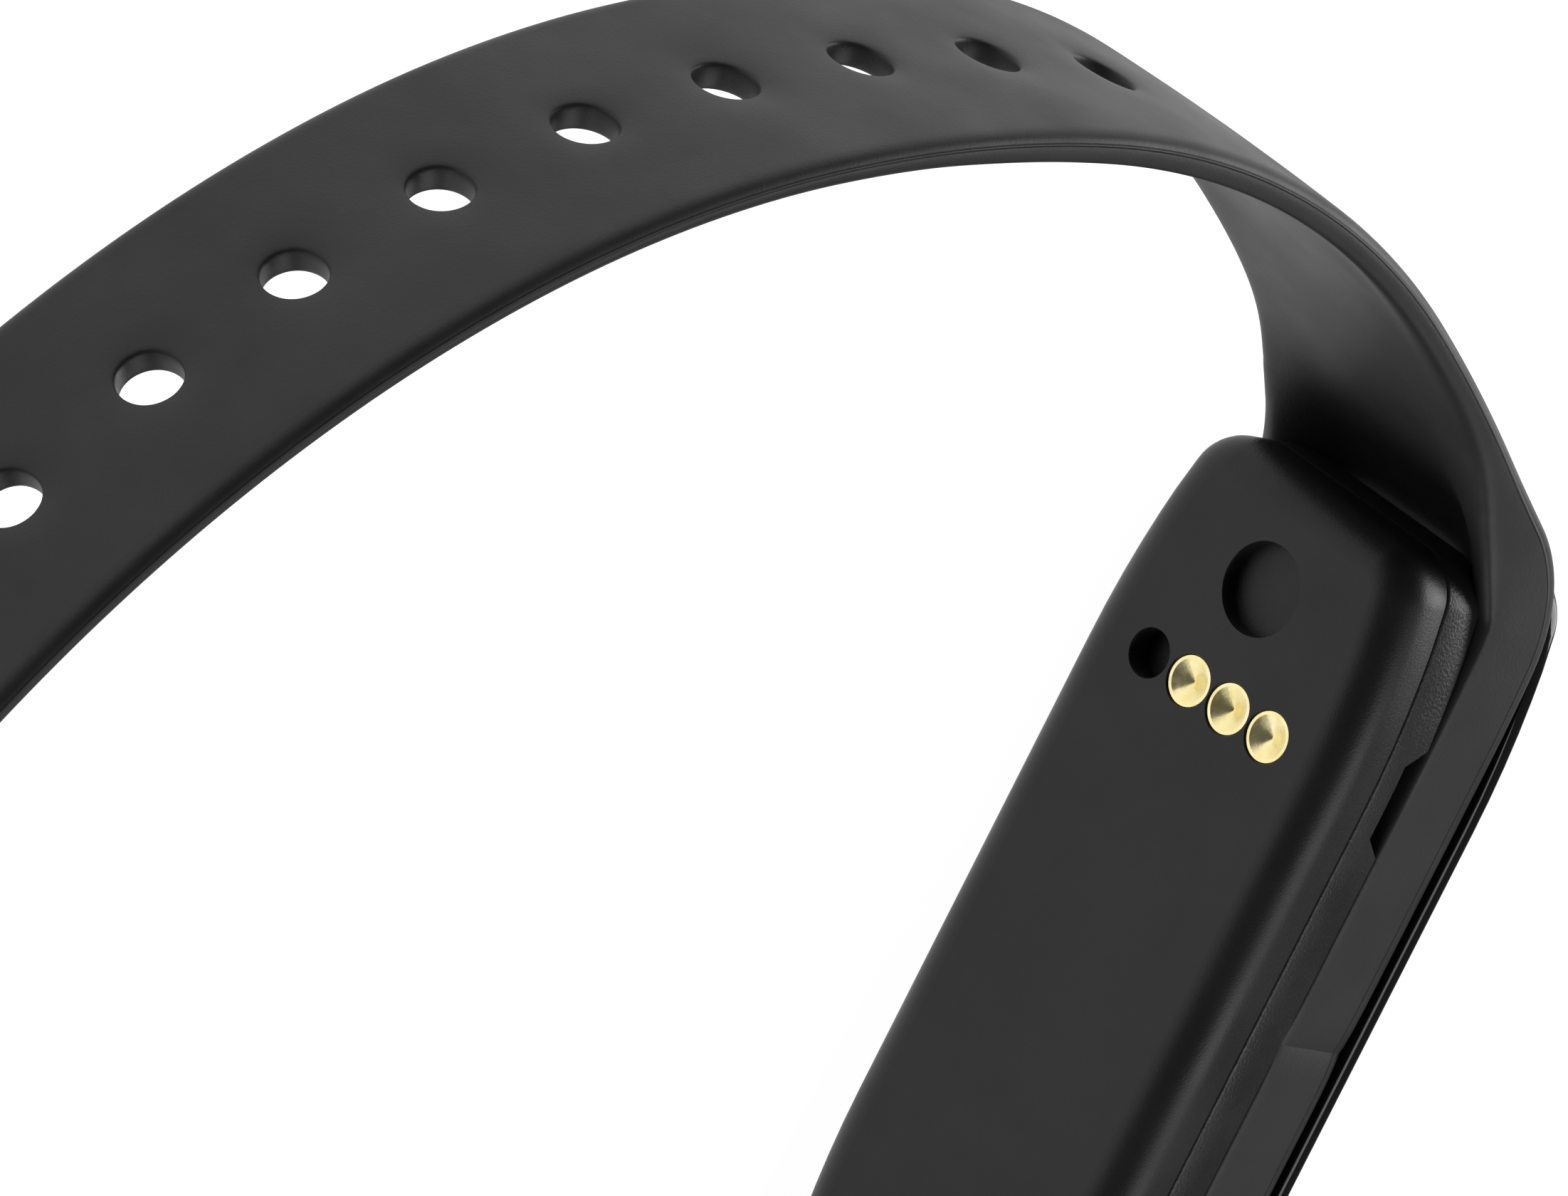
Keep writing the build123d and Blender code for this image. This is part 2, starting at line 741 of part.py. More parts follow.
os.makedirs("parts", exist_ok=True)
for name, shape in build_all().items():
    export_step(shape, f"parts/{name}.step")
    print(name, round(shape.volume, 3))
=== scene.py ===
import json
import math

import bmesh
import bpy
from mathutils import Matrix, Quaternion, Vector


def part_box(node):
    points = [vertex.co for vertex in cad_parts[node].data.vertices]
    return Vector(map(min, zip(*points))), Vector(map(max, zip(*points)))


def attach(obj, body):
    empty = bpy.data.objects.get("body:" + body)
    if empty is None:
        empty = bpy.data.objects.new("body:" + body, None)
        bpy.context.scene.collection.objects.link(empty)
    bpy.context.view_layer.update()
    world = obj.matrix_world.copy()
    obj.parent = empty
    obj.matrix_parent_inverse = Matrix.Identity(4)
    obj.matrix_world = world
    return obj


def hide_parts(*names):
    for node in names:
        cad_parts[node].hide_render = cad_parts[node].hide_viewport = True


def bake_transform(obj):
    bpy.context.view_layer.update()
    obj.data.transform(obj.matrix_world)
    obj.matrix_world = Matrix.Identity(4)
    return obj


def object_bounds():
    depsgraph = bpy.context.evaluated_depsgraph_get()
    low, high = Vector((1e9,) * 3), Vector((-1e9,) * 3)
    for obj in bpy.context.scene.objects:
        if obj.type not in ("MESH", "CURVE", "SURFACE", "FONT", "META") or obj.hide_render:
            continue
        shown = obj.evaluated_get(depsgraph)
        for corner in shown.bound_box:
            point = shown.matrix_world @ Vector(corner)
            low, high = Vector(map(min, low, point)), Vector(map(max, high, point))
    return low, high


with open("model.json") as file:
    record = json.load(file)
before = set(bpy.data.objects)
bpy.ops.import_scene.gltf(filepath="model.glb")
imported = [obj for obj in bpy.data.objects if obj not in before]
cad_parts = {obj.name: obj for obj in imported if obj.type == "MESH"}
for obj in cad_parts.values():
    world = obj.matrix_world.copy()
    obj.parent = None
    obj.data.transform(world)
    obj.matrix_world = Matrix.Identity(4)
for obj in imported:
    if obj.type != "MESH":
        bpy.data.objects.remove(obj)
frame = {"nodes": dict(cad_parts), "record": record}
cad_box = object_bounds()

# Fitness tracker band. The frame is the CAD model's: the origin is the middle of the module's skin side,
# +X runs towards the strap with holes, +Y to the wrist, -Y is the lens side, +Z runs across the band.
# Sizes of the band are in millimetres and are turned into metres when a piece is laid on its route.
MM = 0.001

# --- places read from the frame, in millimetres ---
module_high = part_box("back_cover")[1] / MM
ring_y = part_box("upper_housing")[0].y / MM
front_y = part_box("front_lens")[0].y / MM
cradle_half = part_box("band_cradle")[1].z / MM
strap_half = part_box("hole_strap")[1].z / MM
module_end = module_high.x

# --- the band's route: outer face, from the root outwards ---
flange_y = -5.8
root_reach = 0.4
root_angle = 55.8
route_arcs = [(9.6, 2000), (10.6, 112), (11.4, 50.5), (18, 50), (18, 77), (18, 61), (80, 66)]
strap_thickness = 1.6
root_thickness = 9.9         # where the sides meet the cradle
taper_length = 20.0
taper_power = 4
buckle_strap_length = 62.6
first_hole = 42.4
hole_pitch = 8.25
hole_count = 10
hole_radius = 1.5
tip_margin = 11.2
tip_corner = 5.5
waist_inset = 1.5
ring_fit = 0.05
hollow_depth = 0.25          # of the skin side, between the raised edges
crown_drop = 0.16            # the outer face falls this far towards its edges
dimple_depth = 0.14          # of the face round each hole
fan_start = -2.5             # where the sections begin to turn from the cradle into the strap
fan_end = 8.0
fan_power = 1.15
corner_reach = 4.4           # the outer corner at the root is rounded over this length each way
hole_strap_length = first_hole + (hole_count - 1) * hole_pitch + tip_margin
root_x = module_end + root_reach
eye_radius = 1.9
tongue_slot = 1.4            # half of the slot's width
slot_start = 59.6
middle_overlap = 1.2         # each half is made this far past the middle, then cut there


def smooth(share):
    """Eased step from 0 to 1."""
    share = min(max(share, 0.0), 1.0)
    return share * share * (3 - 2 * share)


def outer_point(distance):
    """Point and heading, in radians, of the outer face, its corner at the root rounded."""
    if abs(distance) >= corner_reach:
        return route_point(distance)
    start = route_point(-corner_reach)
    end = route_point(corner_reach)
    share = (distance + corner_reach) / (2 * corner_reach)
    x, y = [
        start[i] * (1 - share)**2 + 2 * (root_x, ring_y)[i] * share * (1 - share) + end[i] * share**2
        for i in (0, 1)
    ]
    return x, y, end[2] * share


def route_point(distance):
    """Point and heading, in radians, of the outer face before its corner is rounded."""
    if distance < 0:
        return root_x + distance, ring_y, 0.0
    x, y, heading, left = root_x, ring_y, math.radians(root_angle), distance
    for length, radius in route_arcs:
        turn = min(left, length) / radius
        x += radius * (math.sin(heading + turn) - math.sin(heading))
        y -= radius * (math.cos(heading + turn) - math.cos(heading))
        heading += turn
        left -= length
        if left <= 0:
            break
    return x, y, heading


def strap_depth(distance):
    """Thickness of the strap's sides, which falls from the root's to the strap's."""
    left = max(1 - distance / taper_length, 0.0)
    return strap_thickness + (root_thickness - strap_thickness) * left**taper_power


def below_face(distance, depth):
    """Point at a depth under the outer face."""
    x, y, heading = outer_point(distance)
    return x - depth * math.sin(heading), y + depth * math.cos(heading)


def inner_point(distance):
    """Point of the side's inner edge, which follows the flange and then the strap."""
    if distance >= fan_end:
        return below_face(distance, strap_depth(distance))
    near = root_x + fan_start, flange_y
    far = below_face(fan_end, strap_depth(fan_end))
    if distance <= fan_start:
        return root_x + distance, flange_y
    share = (distance - fan_start) / (fan_end - fan_start)
    return near[0] + (far[0] - near[0]) * share, near[1] + (far[1] - near[1]) * share**fan_power


def section_depth(distance):
    """Distance from the outer to the inner edge of the band's side."""
    x, y = outer_point(distance)[:2]
    inner_x, inner_y = inner_point(distance)
    return math.hypot(inner_x - x, inner_y - y)


def on_route(distance, depth, z, side):
    """Place in metres of a point of the flat band, on the hole strap's side (1) or the buckle's (-1)."""
    if distance >= fan_end:
        x, y = below_face(distance, depth)
    else:
        share = depth / section_depth(distance)
        outer_x, outer_y = outer_point(distance)[:2]
        inner_x, inner_y = inner_point(distance)
        x = outer_x + (inner_x - outer_x) * share
        y = outer_y + (inner_y - outer_y) * share
    return Vector((side * x, y, z)) * MM


# --- small modelling helpers ---
def start_editing(piece):
    """Make a piece the only one at hand, in face mode, with nothing selected in it."""
    bpy.ops.object.select_all(action="DESELECT")
    bpy.context.view_layer.objects.active = piece
    piece.select_set(True)
    bpy.ops.object.mode_set(mode="EDIT")
    bpy.ops.mesh.select_mode(type="FACE")
    bpy.ops.mesh.select_all(action="DESELECT")
    bpy.ops.object.mode_set(mode="OBJECT")


def select_faces(piece, wanted):
    """Select the faces whose middle passes a test, ready for an operator in edit mode."""
    start_editing(piece)
    for face in piece.data.polygons:
        face.select = wanted(face)
    bpy.ops.object.mode_set(mode="EDIT")


def stop_editing():
    """Leave edit mode."""
    bpy.ops.object.mode_set(mode="OBJECT")


def apply_modifier(piece, kind, **settings):
    """Add a modifier and apply it at once."""
    bpy.context.view_layer.objects.active = piece
    modifier = piece.modifiers.new(kind.lower(), kind)
    for name, value in settings.items():
        setattr(modifier, name, value)
    bpy.ops.object.modifier_apply(modifier=modifier.name)


def settle(piece, name, angle=40):
    """Name a finished piece, put its place into its mesh and shade it."""
    piece.name = name
    piece.data.name = name
    bpy.ops.object.select_all(action="DESELECT")
    bpy.context.view_layer.objects.active = piece
    piece.select_set(True)
    bpy.ops.object.transform_apply(location=True, rotation=True, scale=True)
    bpy.ops.object.mode_set(mode="EDIT")
    bpy.ops.mesh.select_all(action="SELECT")
    bpy.ops.mesh.normals_make_consistent(inside=False)
    bpy.ops.object.mode_set(mode="OBJECT")
    bpy.ops.object.shade_smooth_by_angle(angle=math.radians(angle))
    return piece


# --- the band, modelled flat and then laid on its route ---
columns = (-7.5, -6.5, -5.4, -4.0, -2.6, -1.5, -0.75, 0.0, 0.75, 1.5, 2.6, 4.0, 5.4, 6.5, 7.5)
cradle_rows = [-root_x - middle_overlap, -20, -15, -10, -7, -4.5, fan_start, -1.7, -0.8]
cradle_rows += [0, 0.8, 1.7, 2.6, 3.8, 5.2, 6.6, fan_end]
root_rows = [9.5, 11, 12.5, 14, 16, 18, 20, 22.5, 25, 28, 31, 34, 36.3]
hole_block = (-4.0, -2.6, -1.5, -0.75, 0.0, 0.75, 1.5, 2.6)


def hole_strap_rows():
    """Rows of the half with the holes, closer together at each hole and at the round tip."""
    rows = cradle_rows + root_rows
    for number in range(hole_count):
        rows += [first_hole + number * hole_pitch + step for step in hole_block]
    last = first_hole + (hole_count - 1) * hole_pitch
    tip = hole_strap_length - tip_corner
    rows += [last + 4.0, tip]
    rows += [tip + tip_corner * math.sin(math.radians(a)) for a in (20, 38, 54, 68, 80, 87)]
    return rows


def buckle_strap_rows():
    """Rows of the buckle's half, closer together round the eye."""
    rows = cradle_rows + root_rows + [39, 43, 47, 51, 55, 58, 59.9]
    turns = (-60, -30, 0, 30, 55, 75, 88)
    rows += [buckle_strap_length + eye_radius * math.sin(math.radians(turn)) for turn in turns]
    return rows


def half_width(distance, tip):
    """Half of the band's width: the cradle's, the strap's, and the round tip's."""
    width = cradle_half + (strap_half - cradle_half) * smooth((distance + 8) / 12)
    start = tip - tip_corner
    if distance > start:
        width += math.sqrt(max(tip_corner**2 - (distance - start)**2, 0.04)) - tip_corner
    return width


def flat_band(rows, tip):
    """Flat grid of the band seen from outside, rows along it and columns across it."""
    bpy.ops.object.select_all(action="DESELECT")
    bpy.ops.mesh.primitive_grid_add(x_subdivisions=len(rows) - 1, y_subdivisions=len(columns) - 1, size=2)
    band = bpy.context.active_object
    for vertex in band.data.vertices:
        row = round((vertex.co.x + 1) / 2 * (len(rows) - 1))
        column = round((vertex.co.y + 1) / 2 * (len(columns) - 1))
        z = columns[column] * half_width(rows[row], tip) / strap_half
        if rows[row] <= fan_start and abs(columns[column]) == 6.5:
            z = math.copysign(cradle_half - waist_inset + ring_fit, z)
        vertex.co = (rows[row], 0, z)
    return band


def round_the_holes(band):
    """Move the grid round each hole onto circles, and open the middle."""
    centres = [first_hole + number * hole_pitch for number in range(hole_count)]
    for vertex in band.data.vertices:
        centre = min(centres, key=lambda place: abs(place - vertex.co.x))
        along, across = vertex.co.x - centre, vertex.co.z
        ring = max(abs(along), abs(across))
        if 0.1 < ring < 3:
            circle = ring / math.hypot(along, across)
            share = 1.0 if ring < 2 else 0.55
            vertex.co.x = centre + along * (1 + (circle - 1) * share)
            vertex.co.z = across * (1 + (circle - 1) * share)

    def in_hole(face):
        away = min(math.hypot(face.center.x - centre, face.center.z) for centre in centres)
        return away < hole_radius * 0.95

    select_faces(band, in_hole)
    bpy.ops.mesh.delete(type="FACE")
    stop_editing()


def open_the_waist(band):
    """Take out the middle of the cradle, where the module sits."""
    select_faces(band, lambda face: face.center.x < fan_start and abs(face.center.z) < 6.6)
    bpy.ops.mesh.delete(type="FACE")
    stop_editing()


def channel_depth(distance, z):
    """How far the skin side is hollowed between the strap's raised sides."""
    pocket = max(section_depth(distance) - strap_thickness, 0) * smooth((distance - fan_start) / 3)
    hollow = hollow_depth * smooth((distance - 12) / 8) * (1 - smooth((distance - 52) / 16))
    cheek = 1 - smooth((abs(z) - 3.2) / 3.6)
    ridge = 1 - smooth((abs(z) - 5.6) / 1.2)
    return pocket * cheek + hollow * ridge


def crown(distance, z):
    """The outer face falls away slightly towards its sides."""
    return crown_drop * (z / strap_half)**2 * smooth(distance / 10)


def rim_dimple(distance, z):
    """Soft dip of the face round a hole."""
    number = min(max(round((distance - first_hole) / hole_pitch), 0), hole_count - 1)
    reach = math.hypot(distance - first_hole - number * hole_pitch, z)
    return dimple_depth * math.exp(-(((reach - hole_radius) / 0.8)**2)) if reach < 3 else 0.0


def give_thickness(band, outer_depth, inner_depth):
    """Thicken the flat grid, then set both faces to their depths."""
    apply_modifier(band, "SOLIDIFY", thickness=1.0, offset=-1.0)
    inner = [abs(vertex.co.y) > 0.5 for vertex in band.data.vertices]
    for vertex, is_inner in zip(band.data.vertices, inner):
        depth = inner_depth if is_inner else outer_depth
        vertex.co.y = depth(vertex.co.x, vertex.co.z)
    return inner


def round_the_edges(band, inner, edge_width, widest):
    """Round every edge between a face and a rim, each by its own width."""
    mesh = bmesh.new()
    mesh.from_mesh(band.data)
    weights = mesh.edges.layers.float.new("bevel_weight_edge")
    for edge in mesh.edges:
        first, second = [vertex.index for vertex in edge.verts]
        if inner[first] == inner[second] and edge.calc_face_angle(0) > math.radians(50):
            middle = (edge.verts[0].co + edge.verts[1].co) / 2
            edge[weights] = edge_width(middle, inner[first]) / widest
    mesh.to_mesh(band.data)
    mesh.free()
    apply_modifier(band, "BEVEL", width=widest, segments=2, limit_method="WEIGHT", use_clamp_overlap=False)


def band_edge_width(middle, is_inner):
    """Rounding of the band's edges: fine in the cradle and at the holes, full along the strap."""
    if abs(middle.z) < 3.2 and middle.x > first_hole - 3:
        at_tip = middle.x > hole_strap_length - 1
        return 0.45 if at_tip else 0.22
    if middle.x < fan_start:
        return 0.25
    if not is_inner:
        return 0.35 + 0.25 * smooth(middle.x / 30)
    crisp = smooth((middle.x - 14) / 8) * (1 - smooth((middle.x - 54) / 10))
    return 0.7 - 0.42 * crisp


def mark_side(band):
    """Keep each side point's depth under the outer face, for the mould line in the band's finish."""
    layer = band.data.attributes.new("side_depth", "FLOAT", "POINT")
    depths = [vertex.co.y if abs(vertex.co.z) > 6.4 else 9.0 for vertex in band.data.vertices]
    layer.data.foreach_set("value", depths)


def cut_at_middle(band):
    """Cut the cradle's half square at the module's middle, where the other half meets it."""
    start_editing(band)
    bpy.ops.object.mode_set(mode="EDIT")
    bpy.ops.mesh.select_all(action="SELECT")
    bpy.ops.mesh.bisect(plane_co=(-root_x, 0, 0), plane_no=(1, 0, 0), use_fill=True, clear_inner=True)
    stop_editing()


def lay_on_route(piece, side):
    """Bend a flat piece onto the route, in metres."""
    for vertex in piece.data.vertices:
        vertex.co = on_route(vertex.co.x, vertex.co.y, vertex.co.z, side)


def strap_inner(distance, z):
    """Depth of the skin side."""
    return section_depth(distance) - channel_depth(distance, z)


def make_band_hole_side():
    """Half of the band that has the holes, with its half of the cradle."""
    band = flat_band(hole_strap_rows(), hole_strap_length)
    round_the_holes(band)
    open_the_waist(band)

    def outer(distance, z):
        return crown(distance, z) + rim_dimple(distance, z)

    def inner(distance, z):
        return strap_inner(distance, z) - 0.6 * rim_dimple(distance, z)

    sides = give_thickness(band, outer, inner)
    round_the_edges(band, sides, band_edge_width, 0.7)
    apply_modifier(band, "SUBSURF", levels=2, render_levels=2)
    cut_at_middle(band)
    mark_side(band)
    lay_on_route(band, 1)
    return settle(band, "band_hole_side")


def eye_depths(distance):
    """Outer and inner depth where the strap swells round the spring bar."""
    middle = strap_thickness / 2
    reach = eye_radius**2 - (distance - buckle_strap_length)**2
    half = math.sqrt(max(reach, 0.002))
    swell = smooth((distance - buckle_strap_length + 6) / 6)
    if distance < buckle_strap_length:
        half = middle + (eye_radius - middle) * swell
    return middle - half, middle + half


def make_band_buckle_side():
    """Half of the band that carries the buckle, with its half of the cradle."""
    band = flat_band(buckle_strap_rows(), 200)
    open_the_waist(band)
    slot_columns = [value for value in columns if abs(value) < 2]
    for vertex in band.data.vertices:
        if abs(vertex.co.z) < 2.6 + 0.1 and vertex.co.x > slot_start:
            if abs(abs(vertex.co.z) - max(slot_columns)) < 0.05:
                vertex.co.z = math.copysign(tongue_slot, vertex.co.z)
    select_faces(band, lambda face: face.center.x > slot_start + 0.3 and abs(face.center.z) < tongue_slot)
    bpy.ops.mesh.delete(type="FACE")
    stop_editing()

    def outer(distance, z):
        plain = crown(distance, z)
        return eye_depths(distance)[0] if distance > 57 else plain

    def inner(distance, z):
        plain = strap_inner(distance, z)
        return eye_depths(distance)[1] if distance > 57 else plain

    sides = give_thickness(band, outer, inner)

    def edge_width(middle, is_inner):
        if middle.x > buckle_strap_length - 4:
            return 0.18
        return band_edge_width(Vector((middle.x, 0, 7.5)), is_inner)

    round_the_edges(band, sides, edge_width, 0.7)
    apply_modifier(band, "SUBSURF", levels=2, render_levels=2)
    cut_at_middle(band)
    mark_side(band)
    lay_on_route(band, -1)
    return settle(band, "band_buckle_side")


# --- module: back cover, upper housing and lens, each from a block of the module's outline ---
parting_y = -3.2
parting_gap = 0.06
shoulder_start = module_end - 11.5
shoulder_radius = 50.0
plan_corner = 2.6
cover_edge = 1.8
cover_break = 0.06           # at the parting line
cover_wall = 1.2
housing_wall = 1.0
flat_margin = 0.05           # narrow strip that keeps a flat face flat beside a rounding
flange_edge = 0.2
lens_bond = 0.15
lens_grow = 0.15
lens_corner = 3.0
lens_rim = 0.45
lens_back_edge = 0.1
contact_x = module_end - 10.4
contact_pitch = 2.54
contact_hole = 1.19
contact_hole_depth = 1.6
key_hole = 1.1
key_hole_depth = 1.5
key_hole_wall = 0.7
recess_x = contact_x + 5.3
recess_radius = 2.1
recess_depth = 0.9
notch_x = module_end - 10.9
notch_length = 3.6
notch_height = 1.2
notch_depth = 1.0
window_half = (12.3, 4.1)


def select_edges(piece, wanted):
    """Select the edges whose two ends pass a test, ready for an operator in edit mode."""
    start_editing(piece)
    bpy.ops.object.mode_set(mode="EDIT")
    bpy.ops.mesh.select_mode(type="EDGE")
    bpy.ops.object.mode_set(mode="OBJECT")
    for edge in piece.data.edges:
        edge.select = wanted(*[piece.data.vertices[index].co for index in edge.vertices])
    bpy.ops.object.mode_set(mode="EDIT")


def module_block(top, bottom, corner, grow=0.0):
    """Block of the module's outline: straight sides, drawn-in shoulders and round corners."""
    bpy.ops.object.select_all(action="DESELECT")
    bpy.ops.mesh.primitive_cube_add(size=1, location=(0, (top + bottom) / 2, 0))
    block = bpy.context.active_object
    end = module_end + grow
    side = module_high.z + grow
    block.scale = (2 * end, top - bottom, 2 * side)
    bpy.ops.object.transform_apply(location=True, rotation=True, scale=True)
    start_editing(block)
    bpy.ops.object.mode_set(mode="EDIT")
    for reach in (0, 1.6, 3.2, 4.8, 6.4, 7.7):
        for way in (1, -1):
            bpy.ops.mesh.select_all(action="SELECT")
            bpy.ops.mesh.bisect(plane_co=(way * (shoulder_start + reach), 0, 0), plane_no=(1, 0, 0))
    stop_editing()
    for vertex in block.data.vertices:
        reach = max(abs(vertex.co.x) - shoulder_start, 0)
        drop = shoulder_radius - math.sqrt(shoulder_radius**2 - reach**2)
        vertex.co.z = math.copysign(side - drop, vertex.co.z)
    select_edges(block, lambda a, b: abs(abs(a.x) - end) < 0.01 and (a - b).length > 0.01
                 and abs(a.x - b.x) + abs(a.z - b.z) < 0.01)
    turn = math.pi / 2 - math.asin((end - shoulder_start) / shoulder_radius)
    bpy.ops.mesh.bevel(offset=corner * math.tan(turn / 2), segments=14, affect="EDGES")
    stop_editing()
    return block


def round_outline(block, depth, radius, steps):
    """Round the outline's edge at one depth, and keep the flat face beside it flat."""
    def on_outline(a, b):
        level = abs(a.y - depth) < 0.001 and abs(b.y - depth) < 0.001
        across = abs(a.x - b.x) < 0.001 and a.z * b.z < 0 and abs(a.x) < shoulder_start + 8
        return level and not across

    select_edges(block, on_outline)
    bpy.ops.mesh.bevel(offset=radius, segments=steps, affect="EDGES")
    stop_editing()
    select_faces(block, lambda face: abs(face.center.y - depth) < 0.001 and abs(face.normal.y) > 0.99)
    bpy.ops.mesh.inset(thickness=flat_margin)
    stop_editing()


def sink(block, facing, inset, travel):
    """Draw in the flat face on one side of a block and push it along Y."""
    level = max(face.center.y * facing for face in block.data.polygons)
    select_faces(block, lambda face: face.normal.y * facing > 0.99
                 and abs(face.center.y * facing - level) < 0.001
                 and abs(face.center.z) < 0.01 and abs(face.center.x) < module_end - 0.3)
    bpy.ops.mesh.inset(thickness=inset)
    bpy.ops.mesh.extrude_region_move(TRANSFORM_OT_translate={"value": (0, travel, 0)})
    stop_editing()


def combine(piece, tool, way):
    """Cut a tool out of a piece, or add it, and take the tool away."""
    apply_modifier(piece, "BOOLEAN", operation=way, object=tool, solver="EXACT")
    bpy.data.objects.remove(tool, do_unlink=True)


def peg(x, z, low, high, radius, top_radius):
    """Round tool along Y."""
    bpy.ops.object.select_all(action="DESELECT")
    bpy.ops.mesh.primitive_cone_add(
        vertices=64, radius1=radius, radius2=top_radius, depth=high - low,
        location=(x, (low + high) / 2, z), rotation=(-math.pi / 2, 0, 0))
    tool = bpy.context.active_object
    bpy.ops.object.transform_apply(location=True, rotation=True, scale=True)
    return tool


def block_tool(low, high):
    """Square tool between two corners."""
    bpy.ops.object.select_all(action="DESELECT")
    bpy.ops.mesh.primitive_cube_add(size=1, location=[(a + b) / 2 for a, b in zip(low, high)])
    tool = bpy.context.active_object
    tool.scale = [b - a for a, b in zip(low, high)]
    bpy.ops.object.transform_apply(location=True, rotation=True, scale=True)
    return tool


def sharp_hole(cover, x, z, radius, depth):
    """Round hole in the cover's face with a fine chamfer."""
    combine(cover, peg(x, z, -depth, 0.5, radius, radius), "DIFFERENCE")
    combine(cover, peg(x, z, -0.1, 0.1, radius - 0.02, radius + 0.1), "DIFFERENCE")


def make_cover():
    """Back cover, with its contact holes, key hole and round recess."""
    cover = module_block(0.0, parting_y, plan_corner)
    round_outline(cover, 0.0, cover_edge, 10)
    round_outline(cover, parting_y, cover_break, 2)
    sink(cover, -1, cover_wall - cover_break - flat_margin, -parting_y - cover_wall)
    key_z = -1.5 * contact_pitch
    boss = key_hole + key_hole_wall
    combine(cover, peg(contact_x, key_z, -key_hole_depth - key_hole_wall, -1.0, boss, boss), "UNION")
    sharp_hole(cover, contact_x, key_z, key_hole, key_hole_depth)
    for place in (-0.5, 0.5, 1.5):
        sharp_hole(cover, contact_x, place * contact_pitch, contact_hole, contact_hole_depth)
    sharp_hole(cover, recess_x, 0, recess_radius, recess_depth)
    cover.scale = (MM, MM, MM)
    return settle(cover, "back_cover_shell", 32)


def make_housing():
    """Upper housing: flange, waist, window and pry notch."""
    top = parting_y - parting_gap
    housing = module_block(top, flange_y, plan_corner)
    round_outline(housing, top, flange_edge, 3)
    round_outline(housing, flange_y, flange_edge, 3)
    sink(housing, -1, waist_inset - flange_edge - flat_margin, ring_y - flange_y)
    sink(housing, 1, cover_wall - flange_edge - flat_margin, flange_y + housing_wall - top)
    window = block_tool(
        (-window_half[0], ring_y - 1, -window_half[1]), (window_half[0], top - 2, window_half[1]))
    combine(housing, window, "DIFFERENCE")
    notch = block_tool(
        (notch_x - notch_length / 2, flange_y - 0.3, module_high.z - notch_depth),
        (notch_x + notch_length / 2, flange_y + notch_height, module_high.z + 1))
    for vertex in notch.data.vertices:
        if vertex.co.y < flange_y:
            vertex.co.x += math.copysign(notch_height, vertex.co.x - notch_x)
    combine(housing, notch, "DIFFERENCE")
    housing.scale = (MM, MM, MM)
    return settle(housing, "upper_housing_shell", 32)


def make_lens():
    """Glossy lens with a rounded rim."""
    back = ring_y - lens_bond
    lens = module_block(back, front_y, lens_corner, lens_grow)
    round_outline(lens, front_y, lens_rim, 6)
    round_outline(lens, back, lens_back_edge, 2)
    lens.scale = (MM, MM, MM)
    return settle(lens, "lens_shell", 32)


# --- keeper ---
keeper_station = 44.6
keeper_length = 5.0
keeper_low = -2.2
keeper_high = 2.05
keeper_wall = 1.2
keeper_half = 7.8
keeper_edge = 0.45


def make_keeper():
    """Rectangular loop: a block, hollowed through along the strap, with soft edges."""
    bpy.ops.object.select_all(action="DESELECT")
    middle = (keeper_low + keeper_high) / 2
    bpy.ops.mesh.primitive_cube_add(size=1, location=(keeper_station, middle, 0))
    keeper = bpy.context.active_object
    height = keeper_high - keeper_low + 2 * keeper_wall
    keeper.scale = (keeper_length, height, 2 * (keeper_half + keeper_wall))
    bpy.ops.object.transform_apply(location=True, rotation=True, scale=True)
    select_faces(keeper, lambda face: abs(face.normal.x) > 0.9)
    bpy.ops.mesh.inset(thickness=keeper_wall, depth=0)
    bpy.ops.mesh.bridge_edge_loops()
    stop_editing()
    apply_modifier(
        keeper, "BEVEL", width=keeper_edge, segments=3, limit_method="ANGLE", angle_limit=math.radians(40))
    select_faces(keeper, lambda face: abs(face.normal.y) > 0.9 or abs(face.normal.z) > 0.9)
    bpy.ops.mesh.subdivide(number_cuts=2)
    stop_editing()
    lay_on_route(keeper, -1)
    return settle(keeper, "keeper_band")


# --- finishes ---
def new_finish(name, colour, roughness, metallic=0.0):
    """Material with a Principled shader; uniform values sit on its own sockets."""
    finish = bpy.data.materials.new(name)
    finish.use_nodes = True
    shader = finish.node_tree.nodes["Principled BSDF"]
    shader.inputs["Base Color"].default_value = (*colour, 1)
    shader.inputs["Roughness"].default_value = roughness
    shader.inputs["Metallic"].default_value = metallic
    return finish, shader


def add_node(finish, kind, **settings):
    """Add a node to a finish."""
    node = finish.node_tree.nodes.new(kind)
    for name, value in settings.items():
        setattr(node, name, value)
    return node


def join(finish, source, target):
    """Link two sockets."""
    finish.node_tree.links.new(source, target)


def noise(finish, size, detail=3.0, stretch=(1, 1, 1)):
    """Noise on the object's own coordinates, its grain given in millimetres."""
    place = add_node(finish, "ShaderNodeTexCoord")
    mapping = add_node(finish, "ShaderNodeMapping")
    mapping.inputs["Scale"].default_value = stretch
    grain = add_node(finish, "ShaderNodeTexNoise")
    grain.inputs["Scale"].default_value = 1 / (size * MM)
    grain.inputs["Detail"].default_value = detail
    join(finish, place.outputs["Object"], mapping.inputs["Vector"])
    join(finish, mapping.outputs["Vector"], grain.inputs["Vector"])
    return grain.outputs["Fac"]


def spread(finish, value, low, high, start=0.3, end=0.7):
    """Map a noise to a range."""
    node = add_node(finish, "ShaderNodeMapRange")
    for name, number in (("From Min", start), ("From Max", end), ("To Min", low), ("To Max", high)):
        node.inputs[name].default_value = number
    join(finish, value, node.inputs["Value"])
    return node.outputs["Result"]


